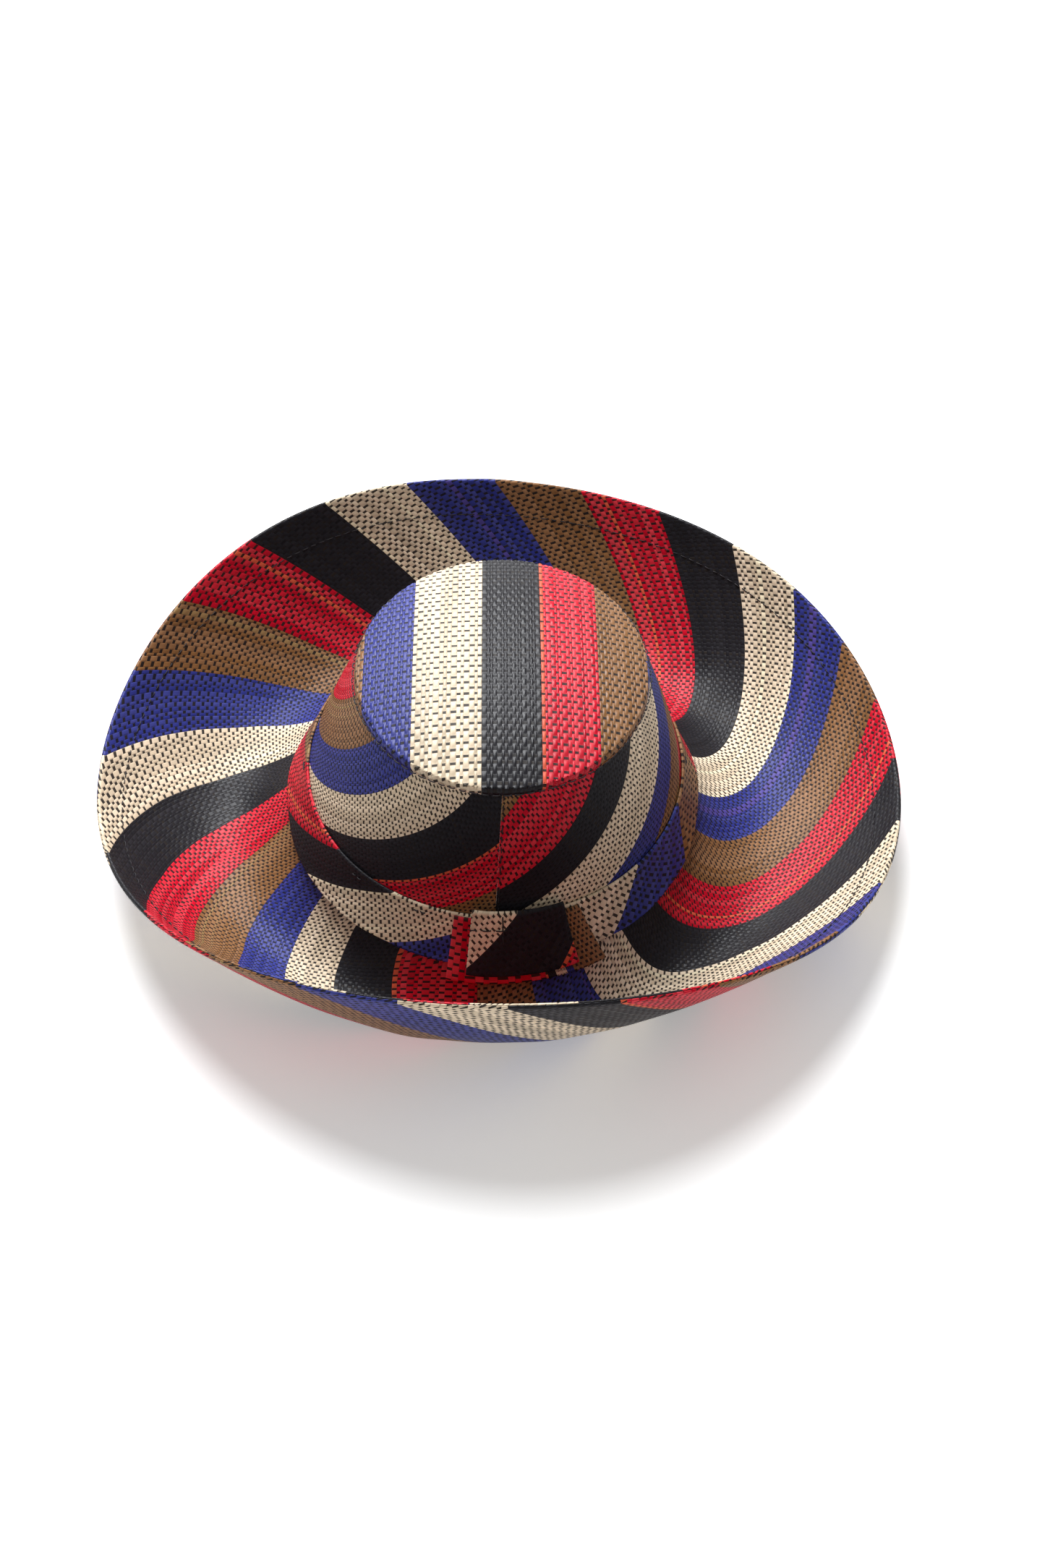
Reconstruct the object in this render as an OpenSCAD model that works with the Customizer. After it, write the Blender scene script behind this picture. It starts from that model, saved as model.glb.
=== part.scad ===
// Wide-brimmed sun hat sewn from striped, hand-woven raffia cloth.
// +Z is up, +Y is the back of the hat, and the origin is the centre of the head opening.
// Every cloth piece is a thin closed shell made of rings that run once round the hat.

/* [Head opening] */
// Width of the opening inside the sweatband, ear to ear
head_w = 166; // [152:1:172]
// Length of the opening inside the sweatband, forehead to nape
head_l = 196; // [184:1:204]

/* [Cloth] */
// Thickness of one layer of woven raffia
cloth_t = 0.7; // [0.6:0.1:1.2]
// Thickness of the cotton sweatband
cotton_t = 1.5; // [0.8:0.1:1.8]
// Clearance between two layers that lie on each other
ply_gap = 0.1; // [0.05:0.05:0.2]
// Space left where two edges of a panel meet at a seam
seam_gap = 0.4; // [0.2:0.1:0.8]

/* [Crown] */
// Height of the crown side, head line to tip seam
crown_h = 74; // [64:1:92]
// Width of the crown at the tip seam
tip_w = 122; // [110:1:140]
// Length of the crown at the tip seam
tip_l = 147; // [134:1:162]
// Sideways lean of the crown tip
tip_dx = 4; // [0:0.5:6]
// Backward lean of the crown tip
tip_dy = -1; // [-4:0.5:4]
// Outward swell of the crown side at half height
side_swell = 2; // [0:0.5:4]
// Rise of the tip panel above its seam
dome_h = 9; // [5:1:14]
// Width of the tip panel's edge that is turned down outside the crown side
tip_turn = 1.6; // [1.2:0.2:4]

/* [Brim] */
// Width of the rim outline, side to side
rim_w = 348; // [320:1:370]
// Length of the rim outline, front to back
rim_l = 344; // [320:1:366]
// Rightward shift of the rim outline
rim_dx = 3; // [0:0.5:5]
// Backward shift of the rim outline
rim_dy = 9; // [4:0.5:12]
// Mean height of the rim above the head line
rim_rise = 25; // [16:1:32]
// How much more the rim turns up at front and back than at the sides
rim_fold = 17; // [8:1:20]
// Depth of the trough between the crown and the rim
trough = 26; // [22:1:30]

/* [Rim wire] */
// Diameter of the wire in the hem
wire_d = 0.8; // [0.7:0.1:1.2]
// Length of the sleeve that joins the wire's two ends
sleeve_len = 16; // [10:1:24]

/* [Hat band and knot] */
// Height of the band's lower edge above the head line
band_low = 4.5; // [3.5:0.5:6]
// Height of the band's upper edge above the head line
band_high = 24; // [20:1:28]
// How far the band's lower edge flares away from the crown
band_flare = 3; // [2:0.5:5]
// Width of the knot's lower piece, along the band
knot_w = 61; // [52:1:70]
// Width of the knot's folded top piece, along the band
fold_w = 44; // [38:1:50]
// Height of the knot
knot_h = 30; // [26:1:34]

/* [Sweatband] */
// Height of the sweatband
sweat_h = 26; // [22:1:32]

/* [Hidden] */

// The crown wall, from its outer face inwards: side cloth, the brim's turned-up edge, sweatband
wall_t = 2 * cloth_t + cotton_t + 3 * ply_gap;
head_a = head_w / 2 + wall_t;
head_b = head_l / 2 + wall_t;
// Points round each ring, and degrees from one to the next
ring_n = 80;
// Where the seams lie: the crown side's at front and back, the brim layers' near front and back
front_seam = 270;
back_seam = 90;
upper_seam = 266;
lower_seam = 94;
// Height of the brim edge that is turned up inside the crown
upstand = 8;
// The last stretch of the brim, where the hem opens to take the wire
hem_start = 0.93;
// Room left round the wire for its sleeve
sleeve_room = 0.3;
// Waves of the rim height, as [turns per circuit, cosine part, sine part]
rim_waves = [[1, -2.3, 0.7], [2, -rim_fold, -0.7], [3, 1.4, 4.2], [4, -1.3, 0.9]];
// How far along its reach the brim's curve is held, near the crown and near the rim
hold_in = 0.25;
hold_out = 0.52;

// ---- outlines -------------------------------------------------------------------------

function oval(a, b, t) = [a * cos(t), b * sin(t)];
function wave_sum(t, i = 0) = i == len(rim_waves) ? 0
    : rim_waves[i][1] * cos(rim_waves[i][0] * t) + rim_waves[i][2] * sin(rim_waves[i][0] * t)
      + wave_sum(t, i + 1);
function head_pt(t) = oval(head_a, head_b, t);
function rim_pt(t) = [rim_dx, rim_dy] + oval(rim_w / 2, rim_l / 2, t);
function rim_z(t) = rim_rise + wave_sum(t);
function reach(t) = norm(rim_pt(t) - head_pt(t));
function outward(t) = (rim_pt(t) - head_pt(t)) / reach(t);

// A cubic curve that starts at 0, with control values a, b, c, and its slope
function curve(a, b, c, s) = 3 * s * pow(1 - s, 2) * a + 3 * s * s * (1 - s) * b + pow(s, 3) * c;
function curve_slope(a, b, c, s) =
    3 * pow(1 - s, 2) * a + 6 * s * (1 - s) * (b - a) + 3 * s * s * (c - b);

// The brim's middle surface: distance out from the head line and height
function brim_xz(t, s) = [curve(hold_in * reach(t), hold_out * reach(t), reach(t), s),
                          curve(-trough, -trough, rim_z(t), s)];
function brim_dir(t, s) =
    let (d = [curve_slope(hold_in * reach(t), hold_out * reach(t), reach(t), s),
              curve_slope(-trough, -trough, rim_z(t), s)]) d / norm(d);
function place(t, x, z) =
    let (p = head_pt(t) + x * outward(t)) [p[0], p[1], z];
// A point of the brim, lifted off its middle surface by off, and slid along it by ahead
function brim_at(t, s, off, ahead = 0) =
    let (d = brim_dir(t, s), q = brim_xz(t, s) + off * [-d[1], d[0]] + ahead * d)
    place(t, q[0], q[1]);

// The crown: its outer oval at a height, and the same oval moved in or out
function crown_k(z) = max(0, min(1, z / crown_h));
function crown_grow(z) = side_swell * 4 * crown_k(z) * (1 - crown_k(z));
function crown_at(t, z, off = 0) =
    let (k = crown_k(z), a = head_a + (tip_w / 2 - head_a) * k + crown_grow(z) + off,
         b = head_b + (tip_l / 2 - head_b) * k + crown_grow(z) + off)
    [tip_dx * k + a * cos(t), tip_dy * k + b * sin(t), z];

// ---- shells ---------------------------------------------------------------------------

// A shell whose rings close on themselves: rings[i][j], i across the section, j round the hat
module closed_shell(rings) {
    m = len(rings);
    n = len(rings[0]);
    polyhedron(points = [for (r = rings) each r],
        faces = [for (i = [0:m - 1], j = [0:n - 1])
            let (i2 = (i + 1) % m, j2 = (j + 1) % n)
            each [[i * n + j, i * n + j2, i2 * n + j2], [i * n + j, i2 * n + j2, i2 * n + j]]]);
}

// A shell that stops at a seam. Each cut end is closed by a strip between the section's two
// faces, so the section lists its outer face and then its inner face, with as many rings
module open_shell(rings) {
    m = len(rings);
    n = len(rings[0]);
    polyhedron(points = [for (r = rings) each r],
        faces = concat(
            [for (i = [0:m - 1], j = [0:n - 2])
                let (i2 = (i + 1) % m)
                each [[i * n + j, i * n + j + 1, i2 * n + j + 1],
                      [i * n + j, i2 * n + j + 1, i2 * n + j]]],
            [for (i = [0:m / 2 - 2])
                each [[i * n, (i + 1) * n, (m - 2 - i) * n],
                      [i * n, (m - 2 - i) * n, (m - 1 - i) * n]]],
            [for (i = [0:m / 2 - 2])
                let (e = n - 1)
                each [[(m - 2 - i) * n + e, (i + 1) * n + e, i * n + e],
                      [(m - 1 - i) * n + e, (m - 2 - i) * n + e, i * n + e]]]));
}

// A disc-like shell: rings[0] and the last ring shrink to a point at the axis
module capped_shell(rings, top, bottom) {
    m = len(rings);
    n = len(rings[0]);
    polyhedron(points = concat([for (r = rings) each r], [top, bottom]),
        faces = concat(
            [for (i = [0:m - 2], j = [0:n - 1])
                let (j2 = (j + 1) % n)
                each [[i * n + j, i * n + j2, (i + 1) * n + j2],
                      [i * n + j, (i + 1) * n + j2, (i + 1) * n + j]]],
            [for (j = [0:n - 1]) [m * n, (j + 1) % n, j]],
            [for (j = [0:n - 1]) [m * n + 1, (m - 1) * n + j, (m - 1) * n + (j + 1) % n]]));
}

// Angles of a whole ring, and of a ring that is cut at a seam on an oval of radius r
function whole_ring() = [for (j = [0:ring_n - 1]) j * 360 / ring_n];
function cut_ring(seam, r) = panel_arc(seam, 360, r, ring_n);
// Angles of a panel that starts at one seam and ends a turn later at the next
function panel_arc(seam, turn, r, n) =
    let (gap = seam_gap / r * 90 / PI)
    [for (j = [0:n]) seam + gap + j * (turn - 2 * gap) / n];

// ---- crown ----------------------------------------------------------------------------

// The dome of the tip panel: share k from its middle to its seam, lifted by off
function tip_at(t, k, off) =
    let (z = crown_h + dome_h * (1 - pow(k, 2.4)) + off,
         a = tip_w / 2 * k, b = tip_l / 2 * k)
    [tip_dx + a * cos(t), tip_dy + b * sin(t), z];

module crown_tip() {
    ts = whole_ring();
    ks = [0.2, 0.4, 0.58, 0.74, 0.87, 0.96];
    edge_off = cloth_t + ply_gap;
    color("ivory") capped_shell(concat(
        [for (k = ks) [for (t = ts) tip_at(t, k, cloth_t + 0.6)]],
        [[for (t = ts) crown_at(t, crown_h - 0.5, edge_off + 0.4)],
         [for (t = ts) crown_at(t, crown_h - tip_turn, edge_off)],
         [for (t = ts) crown_at(t, crown_h - tip_turn, ply_gap)],
         [for (t = ts) crown_at(t, crown_h + 0.1, ply_gap)]],
        [for (i = [len(ks) - 1:-1:0]) [for (t = ts) tip_at(t, ks[i], 0.6)]]),
        [tip_dx, tip_dy, crown_h + dome_h + cloth_t + 0.6], [tip_dx, tip_dy, crown_h + dome_h + 0.6]);
}

// Half of the crown side, from one upright seam to the other
module side_panel(seam) {
    ts = panel_arc(seam, 180, head_b, ring_n / 2);
    zs = [0.6, for (i = [1:6]) crown_h * i / 6];
    open_shell(concat(
        [for (z = zs) [for (t = ts) crown_at(t, z, 0)]],
        [for (i = [len(zs) - 1:-1:0]) [for (t = ts) crown_at(t, zs[i], -cloth_t)]]));
}

module crown_side_left() { color("ivory") side_panel(back_seam); }
module crown_side_right() { color("crimson") side_panel(front_seam); }

// ---- brim -----------------------------------------------------------------------------

// Half the space between the two layers: closed over the brim, opening at the hem for the wire
function ply_half(s) =
    let (k = max(0, (s - hem_start) / (1 - hem_start)))
    ply_gap / 2 + (wire_d / 2 + sleeve_room) * k * k * (3 - 2 * k);
brim_steps = [0.02, 0.1, 0.2, 0.32, 0.44, 0.56, 0.68, 0.8, 0.88, 0.93, 0.97, 1];
under_steps = [0.04, 0.1, 0.2, 0.32, 0.44, 0.56, 0.68, 0.8, 0.88, 0.93, 0.97, 1];
// Each layer wraps its half of the wire and sleeve, as angles above the rim's outermost line
hem_angles = [60, 32, 6];
hem_r = ply_half(1);
function hem_at(t, a, r) = brim_at(t, 1, r * sin(a), r * cos(a));

module brim_upper() {
    ts = cut_ring(upper_seam, head_b);
    n = len(brim_steps);
    inside = -(cloth_t + ply_gap);
    color("royalblue") open_shell(concat(
        [[for (t = ts) crown_at(t, upstand, inside)]],
        [[for (t = ts) crown_at(t, 0.8, inside)]],
        [for (s = brim_steps) [for (t = ts) brim_at(t, s, ply_half(s) + cloth_t)]],
        [for (a = hem_angles) [for (t = ts) hem_at(t, a, hem_r + cloth_t)]],
        [for (i = [len(hem_angles) - 1:-1:0]) [for (t = ts) hem_at(t, hem_angles[i], hem_r)]],
        [for (i = [n - 1:-1:0]) let (s = brim_steps[i])
            [for (t = ts) brim_at(t, s, ply_half(s))]],
        [[for (t = ts) crown_at(t, 0, inside - cloth_t)]],
        [[for (t = ts) crown_at(t, upstand, inside - cloth_t)]]));
}

module brim_lower() {
    ts = cut_ring(lower_seam, head_b);
    n = len(under_steps);
    color("black") open_shell(concat(
        [for (s = under_steps) [for (t = ts) brim_at(t, s, -ply_half(s))]],
        [for (a = hem_angles) [for (t = ts) hem_at(t, -a, hem_r)]],
        [for (i = [len(hem_angles) - 1:-1:0])
            [for (t = ts) hem_at(t, -hem_angles[i], hem_r + cloth_t)]],
        [for (i = [n - 1:-1:0]) let (s = under_steps[i])
            [for (t = ts) brim_at(t, s, -ply_half(s) - cloth_t)]]));
}

// A round rod along the rim, between two angles
module rim_rod(r, t_from, t_to, n) {
    sides = 8;
    ts = [for (j = [0:n]) t_from + (t_to - t_from) * j / n];
    open_shell([for (k = [0:sides - 1])
        [for (t = ts) brim_at(t, 1, r * sin(-k * 360 / sides), r * cos(-k * 360 / sides))]]);
}

// Degrees along the rim that a length takes at the back
function rim_deg(len) = len / (rim_l / 2) * 180 / PI;
wire_back = 90;

module rim_wire() {
    cut = rim_deg(1);
    color("silver")
        rim_rod(wire_d / 2, wire_back + cut / 2, wire_back + 360 - cut / 2,
                1.5 * ring_n);
}

// The tube that holds the wire's two ends
module wire_sleeve() {
    half = rim_deg(sleeve_len) / 2;
    color("dimgray") difference() {
        rim_rod(wire_d / 2 + sleeve_room - 0.1, wire_back - half, wire_back + half, 6);
        rim_rod(wire_d / 2 + 0.08, wire_back - half - 1, wire_back + half + 1, 8);
    }
}

// ---- band, knot and sweatband ---------------------------------------------------------

// How far the band's face stands off the crown at a height
function band_off(z) =
    let (k = (band_high - z) / (band_high - band_low))
    ply_gap + band_flare * k * k;

module hat_band() {
    ts = whole_ring();
    zs = [for (k = [0:4]) band_low + (band_high - band_low) * k / 4];
    color("saddlebrown") closed_shell(concat(
        [for (z = zs) [for (t = ts) crown_at(t, z, band_off(z) + 2 * cloth_t)]],
        [for (i = [len(zs) - 1:-1:0]) [for (t = ts) crown_at(t, zs[i], band_off(zs[i]))]]));
}

// Left edges of the knot's two pieces, as angles on the band
knot_from = 258.3;
fold_from = 263.3;
// Degrees along the front of the band that a length takes
function band_deg(len) = len / (head_a + 5) * 180 / PI;

// A folded flat piece of cloth on the band's front, w wide on average and wider towards its
// bottom by splay degrees. It follows the band's flare and stands inner further out
module knot_piece(from, w, splay, z0, z1, inner, thick) {
    ks = [0:0.25:1];
    function off(z) = band_off(min(z, band_high)) + 2 * cloth_t + inner;
    function row_at(k, more) =
        let (z = z0 + (z1 - z0) * k, turn = band_deg(w) + splay * (0.5 - k))
        [for (u = [0:1 / 12:1.001]) crown_at(from + turn * u, z, off(z) + more)];
    open_shell(concat([for (k = ks) row_at(k, thick)],
                      [for (k = [1:-0.25:0]) row_at(k, 0)]));
}

// Space between one piece of the knot and the next, and how much higher the top piece sits
knot_lift = 0.3;
knot_rise = 4.5;
knot_ply = knot_h - knot_rise;
fold_off = 2 * cloth_t + 2 * knot_lift;

module knot_lower() {
    color("firebrick") knot_piece(knot_from, knot_w, 7,
        band_high - knot_ply, band_high - 0.5, knot_lift, 2 * cloth_t);
}

module knot_fold() {
    color("dimgray") knot_piece(fold_from, fold_w, 3.5,
        band_high + knot_rise - knot_ply, band_high + knot_rise, fold_off, 3 * cloth_t);
}

sweat_off = -(2 * cloth_t + 2 * ply_gap);

module sweatband() {
    ts = cut_ring(wire_back, head_b);
    zs = [0.5, sweat_h / 3, sweat_h * 2 / 3, sweat_h];
    color("antiquewhite") open_shell(concat(
        [for (z = zs) [for (t = ts) crown_at(t, z, sweat_off)]],
        [for (i = [len(zs) - 1:-1:0])
            [for (t = ts) crown_at(t, zs[i], sweat_off - cotton_t)]]));
}

// A short strip that covers the sweatband's join at the back
module sweatband_tab() {
    half = band_deg(14) / 2;
    ts = [for (j = [0:4]) wire_back - half + j * half / 2];
    z0 = 2;
    z1 = sweat_h - 2;
    in1 = sweat_off - cotton_t - ply_gap;
    color("white") open_shell([
        [for (t = ts) crown_at(t, z0, in1)], [for (t = ts) crown_at(t, z1, in1)],
        [for (t = ts) crown_at(t, z1, in1 - 0.8)], [for (t = ts) crown_at(t, z0, in1 - 0.8)]]);
}

// ---- stitches -------------------------------------------------------------------------

thread_d = 0.7;

// One stitch: a short round thread between two points
module stitch(a, b) {
    d = b - a;
    translate(a)
        rotate([0, acos(d[2] / norm(d)), atan2(d[1], d[0])])
            cylinder(d = thread_d, h = norm(d), $fn = 16);
}

// Stitches along a row of points, every second gap left open
module stitch_row(points) {
    for (i = [0:2:len(points) - 2]) stitch(points[i], points[i + 1]);
}

function row(n, from, to) = [for (i = [0:2 * n - 1]) from + (to - from) * i / (2 * n - 1)];

module tip_stitches() {
    off = cloth_t + ply_gap + thread_d / 2 + 0.4;
    color("black") stitch_row([for (t = row(60, 0, 357)) crown_at(t, crown_h - 1, off)]);
}

// Stitches up one of the crown side's seams, above the band
module side_seam(t) {
    stitch_row([for (z = row(6, band_high + 6, crown_h - 8))
        crown_at(t, z, thread_d / 2 + 0.1)]);
}
module front_seam_stitches() { color("black") side_seam(front_seam); }
module back_seam_stitches() { color("black") side_seam(back_seam); }

module upper_seam_stitches() {
    color("black") stitch_row([for (s = row(8, 0.2, 0.9))
        brim_at(upper_seam, s, ply_half(s) + cloth_t + thread_d / 2 + 0.1)]);
}

module lower_seam_stitches() {
    color("black") stitch_row([for (s = row(5, 0.6, 0.9))
        brim_at(lower_seam, s, -ply_half(s) - cloth_t - thread_d / 2 - 0.1)]);
}

module head_line_stitches() {
    color("black") stitch_row([for (t = row(48, 0, 356))
        crown_at(t, 2.5, thread_d / 2 + 0.1)]);
}

module rim_stitches() {
    color("black") stitch_row([for (t = row(120, 0, 358.5))
        brim_at(t, hem_start, ply_half(hem_start) + cloth_t + thread_d / 2 + 0.1)]);
}

module band_tacks() {
    off = band_off(band_high) + 2 * cloth_t + thread_d / 2 + 0.1;
    color("black") for (t = [0:45:315])
        stitch(crown_at(t, band_high - 3, off), crown_at(t + 2, band_high - 3, off));
}

// A row of stitches along the fold's top left corner, and one upright stitch that ends it
module knot_tacks() {
    off = band_off(band_high) + 5 * cloth_t + fold_off + thread_d / 2 + 0.3;
    z = band_high + knot_rise - 7;
    last = fold_from + 9;
    color("black") {
        for (t = [fold_from + 1, fold_from + 5])
            stitch(crown_at(t, z, off), crown_at(t + 3, z, off));
        stitch(crown_at(last, z - 4, off), crown_at(last, z + 4, off));
    }
}

module sweatband_stitches() {
    off = sweat_off - cotton_t - thread_d / 2 - 0.1;
    color("white") stitch_row([for (t = row(48, 98, 442)) crown_at(t, 3, off)]);
}

crown_tip();
crown_side_left();
crown_side_right();
brim_upper();
brim_lower();
rim_wire();
wire_sleeve();
hat_band();
knot_lower();
knot_fold();
sweatband();
sweatband_tab();
tip_stitches();
front_seam_stitches();
back_seam_stitches();
upper_seam_stitches();
lower_seam_stitches();
head_line_stitches();
rim_stitches();
band_tacks();
knot_tacks();
sweatband_stitches();
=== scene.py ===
# %% [markdown]
# # A sun hat of striped, hand-woven raffia
# The hat is sewn from thin panels of plain-woven raffia: an oval tip, two curved side panels,
# a brim of two layers with a wire in its hem, a folded band and a knot.
# This first cell loads the CAD model as a fixed frame. Every piece below is built in that
# frame: its points are worked out in millimetres and placed in metres.

import math

import bmesh
import bpy
import numpy as np
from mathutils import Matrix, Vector


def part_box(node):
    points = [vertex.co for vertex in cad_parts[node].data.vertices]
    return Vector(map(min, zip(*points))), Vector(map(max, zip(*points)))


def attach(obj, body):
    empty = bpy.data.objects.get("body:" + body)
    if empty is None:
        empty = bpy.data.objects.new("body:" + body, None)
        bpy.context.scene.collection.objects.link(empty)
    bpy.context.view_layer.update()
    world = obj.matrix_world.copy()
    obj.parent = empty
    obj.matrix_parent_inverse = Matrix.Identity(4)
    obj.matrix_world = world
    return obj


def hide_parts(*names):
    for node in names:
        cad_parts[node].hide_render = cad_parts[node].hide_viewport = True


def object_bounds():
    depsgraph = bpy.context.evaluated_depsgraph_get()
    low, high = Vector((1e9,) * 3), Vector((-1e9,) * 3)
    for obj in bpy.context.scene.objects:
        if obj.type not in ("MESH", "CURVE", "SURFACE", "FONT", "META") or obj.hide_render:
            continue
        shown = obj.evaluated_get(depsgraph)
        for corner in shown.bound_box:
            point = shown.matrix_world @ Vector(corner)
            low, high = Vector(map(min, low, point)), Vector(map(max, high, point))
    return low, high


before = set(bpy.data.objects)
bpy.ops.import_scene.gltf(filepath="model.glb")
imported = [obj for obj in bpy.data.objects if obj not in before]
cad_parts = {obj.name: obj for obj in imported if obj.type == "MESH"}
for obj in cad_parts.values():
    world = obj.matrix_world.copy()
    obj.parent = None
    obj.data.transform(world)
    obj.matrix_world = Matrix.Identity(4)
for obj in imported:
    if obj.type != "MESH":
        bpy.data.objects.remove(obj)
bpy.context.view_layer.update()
MM = 0.001
print("CAD nodes:", len(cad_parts))

# %% [markdown]
# ## Sizes
# The outline sizes are read from the boxes of the CAD nodes, so the cloth follows the frame.
# The smaller sizes, which a box can't tell, are the maker's cutting sizes in millimetres.

# %% Read the outline sizes
def span(*nodes):
    """Lowest and highest corner of some CAD nodes together, in millimetres."""
    boxes = [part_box(n) for n in nodes]
    low = np.min([list(b[0]) for b in boxes], axis=0) / MM
    high = np.max([list(b[1]) for b in boxes], axis=0) / MM
    return low, high


side_low, side_high = span("crown_side_left", "crown_side_right")
wire_low, wire_high = span("rim_wire")
WIRE = 0.8
CLOTH = 0.7
GAP = 0.1
SEAM = 0.04
HEAD_A = (side_high[0] - side_low[0]) / 2 + 0.14
HEAD_B = (side_high[1] - side_low[1]) / 2 + 0.14
CROWN_H = side_high[2]
RIM_A = (wire_high[0] - wire_low[0] - WIRE) / 2
RIM_B = (wire_high[1] - wire_low[1] - WIRE) / 2
RIM_DX = (wire_high[0] + wire_low[0]) / 2
RIM_DY = (wire_high[1] + wire_low[1]) / 2
TIP_A, TIP_B, TIP_DX, TIP_DY, SWELL, DOME = 61, 73.5, 4, -1, 2, 9
TIP_TURN = 1.6
TROUGH, RIM_RISE, HOLD_IN, HOLD_OUT = 26, 25, 0.25, 0.52
# The rim's height: waves per turn, cosine part and sine part
RIM_WAVES = [(1, -2.3, 0.7), (2, -17, -0.7), (3, 1.4, 4.2), (4, -1.3, 0.9)]
HEM = 0.93
FRONT, BACK, UPPER_SEAM, LOWER_SEAM = 270, 90, 266, 94
BAND_LOW, BAND_HIGH, BAND_FLARE = 4.5, 24, 3
KNOT_FROM, KNOT_W, FOLD_FROM, FOLD_W = 258.3, 61, 263.3, 44
KNOT_H, KNOT_RISE, KNOT_LIFT = 30, 4.5, 0.3
SWEAT_H, COTTON = 26, 1.5
print(f"head line {2 * HEAD_A:.1f} x {2 * HEAD_B:.1f} mm, rim {2 * RIM_A:.1f} x {2 * RIM_B:.1f} mm")

# %% [markdown]
# ## The surfaces of the hat
# Each panel lies on a smooth surface that a short formula gives: a leaning oval cone for the
# crown, a low dome for the tip, and a brim that dips into a trough and rises to a wavy rim.
# A formula is better here than a sculpted mesh, because the cloth, its hem and every row of
# stitches can all ask it for a point and so meet exactly.

# %% Crown and tip surfaces
def cosd(t):
    return np.cos(np.radians(t))


def sind(t):
    return np.sin(np.radians(t))


def smooth(x, low, high):
    """0 below low, 1 above high, with a soft step between."""
    k = np.clip((x - low) / (high - low), 0, 1)
    return k * k * (3 - 2 * k)


def crown_at(t, z, off=0.0):
    """A point of the crown side at angle t and height z, off millimetres outside it."""
    k = np.clip(z / CROWN_H, 0, 1)
    grow = 4 * SWELL * k * (1 - k) + off
    a = HEAD_A + (TIP_A - HEAD_A) * k + grow
    b = HEAD_B + (TIP_B - HEAD_B) * k + grow
    return np.stack(np.broadcast_arrays(TIP_DX * k + a * cosd(t), TIP_DY * k + b * sind(t), z), -1)


def tip_at(x, y, off=0.0):
    """A point of the tip's dome above plan position x, y, measured from the tip's middle."""
    k = np.sqrt(np.clip((x / TIP_A) ** 2 + (y / TIP_B) ** 2, 0, 1))
    z = CROWN_H + DOME * (1 - k ** 2.4) + off
    return np.stack(np.broadcast_arrays(TIP_DX + x, TIP_DY + y, z), -1)


# %% Brim surface
def rim_height(t):
    return RIM_RISE + sum(a * cosd(n * t) + b * sind(n * t) for n, a, b in RIM_WAVES)


def bend(a, b, c, s):
    """A curve that starts at 0 and is drawn towards a and b before it ends at c."""
    return 3 * s * (1 - s) ** 2 * a + 3 * s * s * (1 - s) * b + s ** 3 * c


def bend_slope(a, b, c, s):
    return 3 * (1 - s) ** 2 * a + 6 * s * (1 - s) * (b - a) + 3 * s * s * (c - b)


def brim_parts(t, s):
    """Head line point, outward direction, distance out, height, and the direction they run in."""
    head = np.stack([HEAD_A * cosd(t), HEAD_B * sind(t)], -1)
    rim = np.stack([RIM_DX + RIM_A * cosd(t), RIM_DY + RIM_B * sind(t)], -1)
    reach = np.linalg.norm(rim - head, axis=-1)
    out = (rim - head) / reach[..., None]
    top = rim_height(t)
    x = bend(HOLD_IN * reach, HOLD_OUT * reach, reach, s)
    z = bend(-TROUGH, -TROUGH, top, s)
    dx = bend_slope(HOLD_IN * reach, HOLD_OUT * reach, reach, s)
    dz = bend_slope(-TROUGH, -TROUGH, top, s)
    length = np.hypot(dx, dz)
    return head, out, x, z, dx / length, dz / length


def brim_at(t, s, off=0.0, ahead=0.0):
    """A point of the brim: share s of the way out, lifted by off, slid outwards by ahead."""
    t, s = np.broadcast_arrays(np.asarray(t, float), np.asarray(s, float))
    head, out, x, z, dx, dz = brim_parts(t, s)
    x = x - off * dz + ahead * dx
    z = z + off * dx + ahead * dz
    return np.concatenate([head + out * x[..., None], z[..., None]], -1)


def brim_up(t, s):
    """The direction away from the brim's upper face."""
    t, s = np.broadcast_arrays(np.asarray(t, float), np.asarray(s, float))
    _, out, _, _, dx, dz = brim_parts(t, s)
    return np.concatenate([-out * dz[..., None], dx[..., None]], -1)


def ply_half(s, t=0.0):
    """Half the space between the brim's two layers. It opens at the hem for the wire, and a
    little more at the back, where the wire's sleeve is."""
    sleeve = np.exp(-(((t - BACK + 180) % 360 - 180) / 3.5) ** 4)
    return GAP / 2 + (WIRE / 2 + 0.22 * sleeve) * smooth(s, HEM, 1.0)


print("rim height at front, right, back, left:", [round(float(rim_height(t)), 1) for t in (270, 0, 90, 180)])

# %% [markdown]
# ## Where the stripes run
# The cloth is woven in five colours. A stripe number grows by one from stripe to stripe, and
# its whole part modulo five picks the colour: red, black, cream, blue, brown.
# Each panel was cut from the cloth at its own angle. On the brim the stripes leave the head
# line straight and then sweep round, on the crown sides they slant, and on the tip they run
# straight from front to back.

# %% Stripe numbers of each panel
# Stripes that the brim's sweep has crossed at the rim, at some angles round it
SWEEP_T = [-94, -40, -24, -10, 3, 26, 51, 77, 105, 132,
           160, 178, 198, 217, 224, 234, 243, 249, 255, 266]
SWEEP = [3.0, 3.0, 3.0, 3.0, 2.9, 2.5, 2.3, 2.15, 2.1, 2.05,
         2.1, 2.3, 2.75, 2.9, 2.6, 2.3, 2.0, 1.4, 0.8, 0.0]
STRIPE_DEG = 14.06


def upper_stripe(t, s):
    """Stripe number on the brim's upper layer, for t from the seam down to a turn less."""
    start = np.interp(UPPER_SEAM - t, [0, 22.5, 360], [0.03, 1.0, 25.0])
    power = 2 + 2 * smooth(-t, 35, 75)
    return start + np.interp(t, SWEEP_T, SWEEP) * s ** power


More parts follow.
